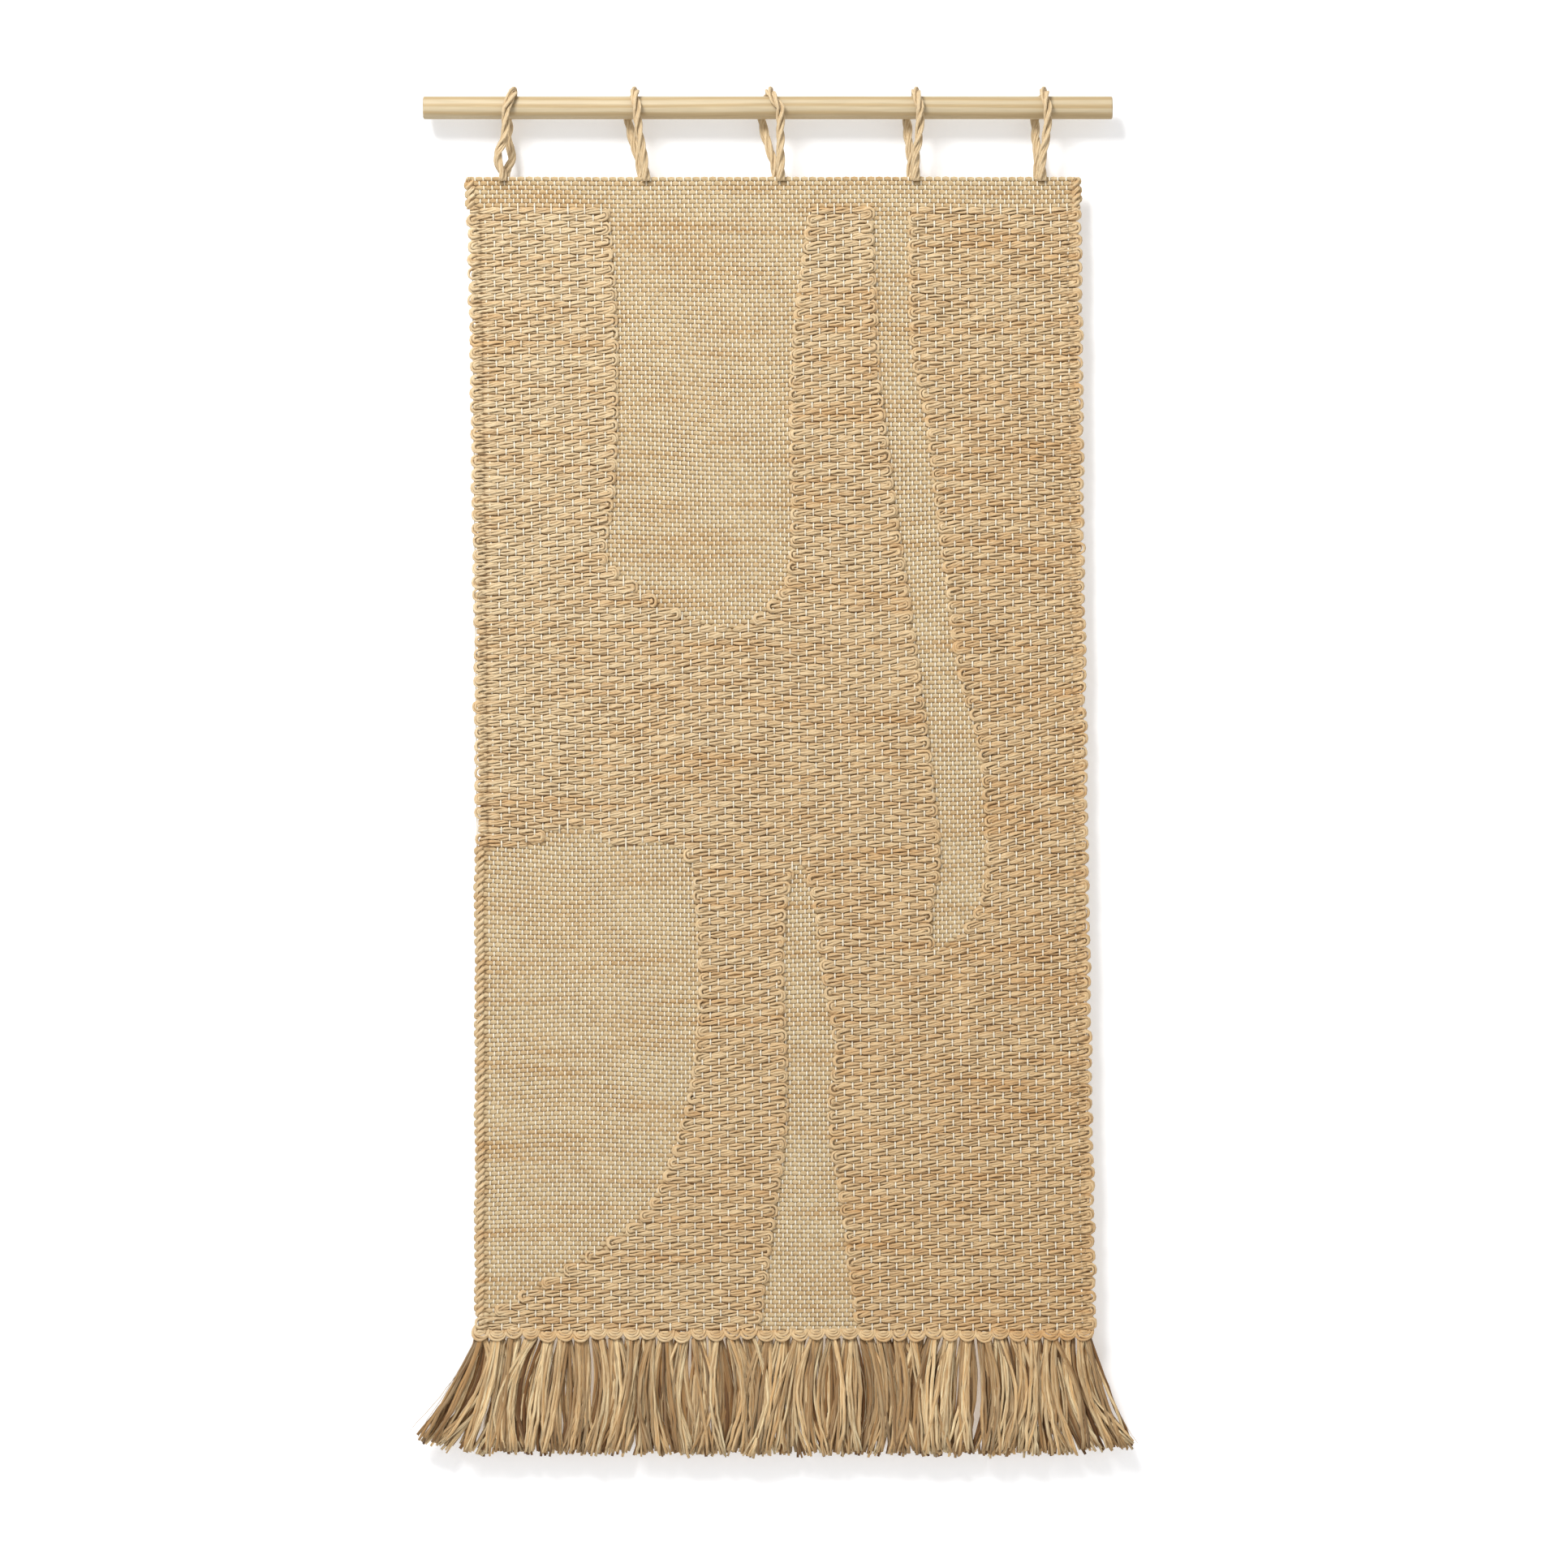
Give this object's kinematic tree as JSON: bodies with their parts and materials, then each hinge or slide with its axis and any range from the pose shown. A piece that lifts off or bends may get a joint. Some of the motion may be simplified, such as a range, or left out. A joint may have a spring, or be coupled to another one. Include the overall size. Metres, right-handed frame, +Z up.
{
  "type": "tapestry wall hanging",
  "caption": "Handwoven jute tapestry with flat windows in thick floating weft, hung on a wooden dowel by cord loops, with a knotted fringe.",
  "frame": {"origin": "the middle of the dowel's axis, where the wall hooks carry it", "axes": "+Z up, +X along the dowel to the viewer's right, +Y into the wall; the cloth's face looks along -Y"},
  "size_m": [0.6071, 0.0392, 1.1978],
  "materials": {
    "pine": "bare sanded pine, pale, fine straight grain",
    "flat_weave_jute": "plain weave, single jute weft on cotton warp",
    "relief_jute": "thick multi-strand jute weft floats tied down by cotton warp",
    "loop_cord": "twisted jute cord",
    "fringe_jute": "loose single-ply jute strands",
    "cotton_warp": "unbleached cotton warp"
  },
  "bodies": {
    "dowel": {"dowel": "pine"},
    "panel": {"heading_band": "flat_weave_jute", "window_arch": "flat_weave_jute", "window_blade": "flat_weave_jute", "window_lower_left": "flat_weave_jute", "window_stem": "flat_weave_jute", "relief_left_column": "relief_jute", "relief_centre_column": "relief_jute", "relief_right_column": "relief_jute", "relief_waist": "relief_jute", "relief_leg": "relief_jute", "relief_lower_right": "relief_jute", "selvedge_left": "relief_jute", "selvedge_right": "relief_jute"},
    "loop_1": {"hanging_loop_1": "loop_cord"},
    "loop_2": {"hanging_loop_2": "loop_cord"},
    "loop_3": {"hanging_loop_3": "loop_cord"},
    "loop_4": {"hanging_loop_4": "loop_cord"},
    "loop_5": {"hanging_loop_5": "loop_cord"},
    "fringe": {"knot_row": "fringe_jute"},
    "tassel_01": {"fringe_tassel_01": "fringe_jute"},
    "tassel_02": {"fringe_tassel_02": "fringe_jute"},
    "tassel_03": {"fringe_tassel_03": "fringe_jute"},
    "tassel_04": {"fringe_tassel_04": "fringe_jute"},
    "tassel_05": {"fringe_tassel_05": "fringe_jute"},
    "tassel_06": {"fringe_tassel_06": "fringe_jute"},
    "tassel_07": {"fringe_tassel_07": "fringe_jute"},
    "tassel_08": {"fringe_tassel_08": "fringe_jute"},
    "tassel_09": {"fringe_tassel_09": "fringe_jute"},
    "tassel_10": {"fringe_tassel_10": "fringe_jute"},
    "tassel_11": {"fringe_tassel_11": "fringe_jute"},
    "tassel_12": {"fringe_tassel_12": "fringe_jute"},
    "tassel_13": {"fringe_tassel_13": "fringe_jute"},
    "tassel_14": {"fringe_tassel_14": "fringe_jute"},
    "tassel_15": {"fringe_tassel_15": "fringe_jute"},
    "tassel_16": {"fringe_tassel_16": "fringe_jute"},
    "tassel_17": {"fringe_tassel_17": "fringe_jute"},
    "tassel_18": {"fringe_tassel_18": "fringe_jute"},
    "tassel_19": {"fringe_tassel_19": "fringe_jute"},
    "tassel_20": {"fringe_tassel_20": "fringe_jute"},
    "tassel_21": {"fringe_tassel_21": "fringe_jute"},
    "tassel_22": {"fringe_tassel_22": "fringe_jute"},
    "tassel_23": {"fringe_tassel_23": "fringe_jute"},
    "tassel_24": {"fringe_tassel_24": "fringe_jute"},
    "tassel_25": {"fringe_tassel_25": "fringe_jute"},
    "tassel_26": {"fringe_tassel_26": "fringe_jute"},
    "tassel_27": {"fringe_tassel_27": "fringe_jute"},
    "tassel_28": {"fringe_tassel_28": "fringe_jute"},
    "tassel_29": {"fringe_tassel_29": "fringe_jute"},
    "tassel_30": {"fringe_tassel_30": "fringe_jute"},
    "tassel_31": {"fringe_tassel_31": "fringe_jute"},
    "tassel_32": {"fringe_tassel_32": "fringe_jute"},
    "tassel_33": {"fringe_tassel_33": "fringe_jute"},
    "tassel_34": {"fringe_tassel_34": "fringe_jute"},
    "tassel_35": {"fringe_tassel_35": "fringe_jute"},
    "tassel_36": {"fringe_tassel_36": "fringe_jute"},
    "tassel_37": {"fringe_tassel_37": "fringe_jute"}
  },
  "joints": [
    {"name": "panel_swing", "type": "hinge", "parent": "dowel", "child": "panel", "pos_m": [0, 0, 0], "axis": [-1, 0, 0], "range_deg": [0, 90]},
    {"name": "loop_1_lean", "type": "hinge", "parent": "panel", "child": "loop_1", "pos_m": [-0.2256, 0, -0.06], "axis": [0, 1, 0], "range_deg": [-3.5, 3.5]},
    {"name": "loop_2_lean", "type": "hinge", "parent": "panel", "child": "loop_2", "pos_m": [-0.1088, 0, -0.06], "axis": [0, 1, 0], "range_deg": [-3.5, 3.5]},
    {"name": "loop_3_lean", "type": "hinge", "parent": "panel", "child": "loop_3", "pos_m": [0.008, 0, -0.06], "axis": [0, 1, 0], "range_deg": [-3.5, 3.5]},
    {"name": "loop_4_lean", "type": "hinge", "parent": "panel", "child": "loop_4", "pos_m": [0.1248, 0, -0.06], "axis": [0, 1, 0], "range_deg": [-3.5, 3.5]},
    {"name": "loop_5_lean", "type": "hinge", "parent": "panel", "child": "loop_5", "pos_m": [0.2416, 0, -0.06], "axis": [0, 1, 0], "range_deg": [-3.5, 3.5]},
    {"name": "fringe_swing", "type": "hinge", "parent": "panel", "child": "fringe", "pos_m": [0.008, 0, -1.0723], "axis": [-1, 0, 0], "range_deg": [0, 90]},
    {"name": "tassel_01_sway", "type": "hinge", "parent": "fringe", "child": "tassel_01", "pos_m": [-0.2547, 0, -1.0723], "axis": [0, 1, 0], "range_deg": [-8, 8]},
    {"name": "tassel_02_sway", "type": "hinge", "parent": "fringe", "child": "tassel_02", "pos_m": [-0.24011, 0, -1.0723], "axis": [0, 1, 0], "range_deg": [-8, 8]},
    {"name": "tassel_03_sway", "type": "hinge", "parent": "fringe", "child": "tassel_03", "pos_m": [-0.22551, 0, -1.0723], "axis": [0, 1, 0], "range_deg": [-8, 8]},
    {"name": "tassel_04_sway", "type": "hinge", "parent": "fringe", "child": "tassel_04", "pos_m": [-0.21092, 0, -1.0723], "axis": [0, 1, 0], "range_deg": [-8, 8]},
    {"name": "tassel_05_sway", "type": "hinge", "parent": "fringe", "child": "tassel_05", "pos_m": [-0.19632, 0, -1.0723], "axis": [0, 1, 0], "range_deg": [-8, 8]},
    {"name": "tassel_06_sway", "type": "hinge", "parent": "fringe", "child": "tassel_06", "pos_m": [-0.18173, 0, -1.0723], "axis": [0, 1, 0], "range_deg": [-8, 8]},
    {"name": "tassel_07_sway", "type": "hinge", "parent": "fringe", "child": "tassel_07", "pos_m": [-0.16714, 0, -1.0723], "axis": [0, 1, 0], "range_deg": [-8, 8]},
    {"name": "tassel_08_sway", "type": "hinge", "parent": "fringe", "child": "tassel_08", "pos_m": [-0.15254, 0, -1.0723], "axis": [0, 1, 0], "range_deg": [-8, 8]},
    {"name": "tassel_09_sway", "type": "hinge", "parent": "fringe", "child": "tassel_09", "pos_m": [-0.13795, 0, -1.0723], "axis": [0, 1, 0], "range_deg": [-8, 8]},
    {"name": "tassel_10_sway", "type": "hinge", "parent": "fringe", "child": "tassel_10", "pos_m": [-0.12335, 0, -1.0723], "axis": [0, 1, 0], "range_deg": [-8, 8]},
    {"name": "tassel_11_sway", "type": "hinge", "parent": "fringe", "child": "tassel_11", "pos_m": [-0.10876, 0, -1.0723], "axis": [0, 1, 0], "range_deg": [-8, 8]},
    {"name": "tassel_12_sway", "type": "hinge", "parent": "fringe", "child": "tassel_12", "pos_m": [-0.09416, 0, -1.0723], "axis": [0, 1, 0], "range_deg": [-8, 8]},
    {"name": "tassel_13_sway", "type": "hinge", "parent": "fringe", "child": "tassel_13", "pos_m": [-0.07957, 0, -1.0723], "axis": [0, 1, 0], "range_deg": [-8, 8]},
    {"name": "tassel_14_sway", "type": "hinge", "parent": "fringe", "child": "tassel_14", "pos_m": [-0.06497, 0, -1.0723], "axis": [0, 1, 0], "range_deg": [-8, 8]},
    {"name": "tassel_15_sway", "type": "hinge", "parent": "fringe", "child": "tassel_15", "pos_m": [-0.05038, 0, -1.0723], "axis": [0, 1, 0], "range_deg": [-8, 8]},
    {"name": "tassel_16_sway", "type": "hinge", "parent": "fringe", "child": "tassel_16", "pos_m": [-0.03578, 0, -1.0723], "axis": [0, 1, 0], "range_deg": [-8, 8]},
    {"name": "tassel_17_sway", "type": "hinge", "parent": "fringe", "child": "tassel_17", "pos_m": [-0.02119, 0, -1.0723], "axis": [0, 1, 0], "range_deg": [-8, 8]},
    {"name": "tassel_18_sway", "type": "hinge", "parent": "fringe", "child": "tassel_18", "pos_m": [-0.0066, 0, -1.0723], "axis": [0, 1, 0], "range_deg": [-8, 8]},
    {"name": "tassel_19_sway", "type": "hinge", "parent": "fringe", "child": "tassel_19", "pos_m": [0.008, 0, -1.0723], "axis": [0, 1, 0], "range_deg": [-8, 8]},
    {"name": "tassel_20_sway", "type": "hinge", "parent": "fringe", "child": "tassel_20", "pos_m": [0.0226, 0, -1.0723], "axis": [0, 1, 0], "range_deg": [-8, 8]},
    {"name": "tassel_21_sway", "type": "hinge", "parent": "fringe", "child": "tassel_21", "pos_m": [0.03719, 0, -1.0723], "axis": [0, 1, 0], "range_deg": [-8, 8]},
    {"name": "tassel_22_sway", "type": "hinge", "parent": "fringe", "child": "tassel_22", "pos_m": [0.05178, 0, -1.0723], "axis": [0, 1, 0], "range_deg": [-8, 8]},
    {"name": "tassel_23_sway", "type": "hinge", "parent": "fringe", "child": "tassel_23", "pos_m": [0.06638, 0, -1.0723], "axis": [0, 1, 0], "range_deg": [-8, 8]},
    {"name": "tassel_24_sway", "type": "hinge", "parent": "fringe", "child": "tassel_24", "pos_m": [0.08097, 0, -1.0723], "axis": [0, 1, 0], "range_deg": [-8, 8]},
    {"name": "tassel_25_sway", "type": "hinge", "parent": "fringe", "child": "tassel_25", "pos_m": [0.09557, 0, -1.0723], "axis": [0, 1, 0], "range_deg": [-8, 8]},
    {"name": "tassel_26_sway", "type": "hinge", "parent": "fringe", "child": "tassel_26", "pos_m": [0.11016, 0, -1.0723], "axis": [0, 1, 0], "range_deg": [-8, 8]},
    {"name": "tassel_27_sway", "type": "hinge", "parent": "fringe", "child": "tassel_27", "pos_m": [0.12476, 0, -1.0723], "axis": [0, 1, 0], "range_deg": [-8, 8]},
    {"name": "tassel_28_sway", "type": "hinge", "parent": "fringe", "child": "tassel_28", "pos_m": [0.13935, 0, -1.0723], "axis": [0, 1, 0], "range_deg": [-8, 8]},
    {"name": "tassel_29_sway", "type": "hinge", "parent": "fringe", "child": "tassel_29", "pos_m": [0.15395, 0, -1.0723], "axis": [0, 1, 0], "range_deg": [-8, 8]},
    {"name": "tassel_30_sway", "type": "hinge", "parent": "fringe", "child": "tassel_30", "pos_m": [0.16854, 0, -1.0723], "axis": [0, 1, 0], "range_deg": [-8, 8]},
    {"name": "tassel_31_sway", "type": "hinge", "parent": "fringe", "child": "tassel_31", "pos_m": [0.18313, 0, -1.0723], "axis": [0, 1, 0], "range_deg": [-8, 8]},
    {"name": "tassel_32_sway", "type": "hinge", "parent": "fringe", "child": "tassel_32", "pos_m": [0.19773, 0, -1.0723], "axis": [0, 1, 0], "range_deg": [-8, 8]},
    {"name": "tassel_33_sway", "type": "hinge", "parent": "fringe", "child": "tassel_33", "pos_m": [0.21232, 0, -1.0723], "axis": [0, 1, 0], "range_deg": [-8, 8]},
    {"name": "tassel_34_sway", "type": "hinge", "parent": "fringe", "child": "tassel_34", "pos_m": [0.22692, 0, -1.0723], "axis": [0, 1, 0], "range_deg": [-8, 8]},
    {"name": "tassel_35_sway", "type": "hinge", "parent": "fringe", "child": "tassel_35", "pos_m": [0.24151, 0, -1.0723], "axis": [0, 1, 0], "range_deg": [-8, 8]},
    {"name": "tassel_36_sway", "type": "hinge", "parent": "fringe", "child": "tassel_36", "pos_m": [0.25611, 0, -1.0723], "axis": [0, 1, 0], "range_deg": [-8, 8]},
    {"name": "tassel_37_sway", "type": "hinge", "parent": "fringe", "child": "tassel_37", "pos_m": [0.2707, 0, -1.0723], "axis": [0, 1, 0], "range_deg": [-8, 8]}
  ],
  "couplings": [
    {"joint": "tassel_02_sway", "follows": "tassel_01_sway", "ratio": 1},
    {"joint": "tassel_03_sway", "follows": "tassel_01_sway", "ratio": 1},
    {"joint": "tassel_04_sway", "follows": "tassel_01_sway", "ratio": 1},
    {"joint": "tassel_05_sway", "follows": "tassel_01_sway", "ratio": 1},
    {"joint": "tassel_06_sway", "follows": "tassel_01_sway", "ratio": 1},
    {"joint": "tassel_07_sway", "follows": "tassel_01_sway", "ratio": 1},
    {"joint": "tassel_08_sway", "follows": "tassel_01_sway", "ratio": 1},
    {"joint": "tassel_09_sway", "follows": "tassel_01_sway", "ratio": 1},
    {"joint": "tassel_10_sway", "follows": "tassel_01_sway", "ratio": 1},
    {"joint": "tassel_11_sway", "follows": "tassel_01_sway", "ratio": 1},
    {"joint": "tassel_12_sway", "follows": "tassel_01_sway", "ratio": 1},
    {"joint": "tassel_13_sway", "follows": "tassel_01_sway", "ratio": 1},
    {"joint": "tassel_14_sway", "follows": "tassel_01_sway", "ratio": 1},
    {"joint": "tassel_15_sway", "follows": "tassel_01_sway", "ratio": 1},
    {"joint": "tassel_16_sway", "follows": "tassel_01_sway", "ratio": 1},
    {"joint": "tassel_17_sway", "follows": "tassel_01_sway", "ratio": 1},
    {"joint": "tassel_18_sway", "follows": "tassel_01_sway", "ratio": 1},
    {"joint": "tassel_19_sway", "follows": "tassel_01_sway", "ratio": 1},
    {"joint": "tassel_20_sway", "follows": "tassel_01_sway", "ratio": 1},
    {"joint": "tassel_21_sway", "follows": "tassel_01_sway", "ratio": 1},
    {"joint": "tassel_22_sway", "follows": "tassel_01_sway", "ratio": 1},
    {"joint": "tassel_23_sway", "follows": "tassel_01_sway", "ratio": 1},
    {"joint": "tassel_24_sway", "follows": "tassel_01_sway", "ratio": 1},
    {"joint": "tassel_25_sway", "follows": "tassel_01_sway", "ratio": 1},
    {"joint": "tassel_26_sway", "follows": "tassel_01_sway", "ratio": 1},
    {"joint": "tassel_27_sway", "follows": "tassel_01_sway", "ratio": 1},
    {"joint": "tassel_28_sway", "follows": "tassel_01_sway", "ratio": 1},
    {"joint": "tassel_29_sway", "follows": "tassel_01_sway", "ratio": 1},
    {"joint": "tassel_30_sway", "follows": "tassel_01_sway", "ratio": 1},
    {"joint": "tassel_31_sway", "follows": "tassel_01_sway", "ratio": 1},
    {"joint": "tassel_32_sway", "follows": "tassel_01_sway", "ratio": 1},
    {"joint": "tassel_33_sway", "follows": "tassel_01_sway", "ratio": 1},
    {"joint": "tassel_34_sway", "follows": "tassel_01_sway", "ratio": 1},
    {"joint": "tassel_35_sway", "follows": "tassel_01_sway", "ratio": 1},
    {"joint": "tassel_36_sway", "follows": "tassel_01_sway", "ratio": 1},
    {"joint": "tassel_37_sway", "follows": "tassel_01_sway", "ratio": 1}
  ]
}
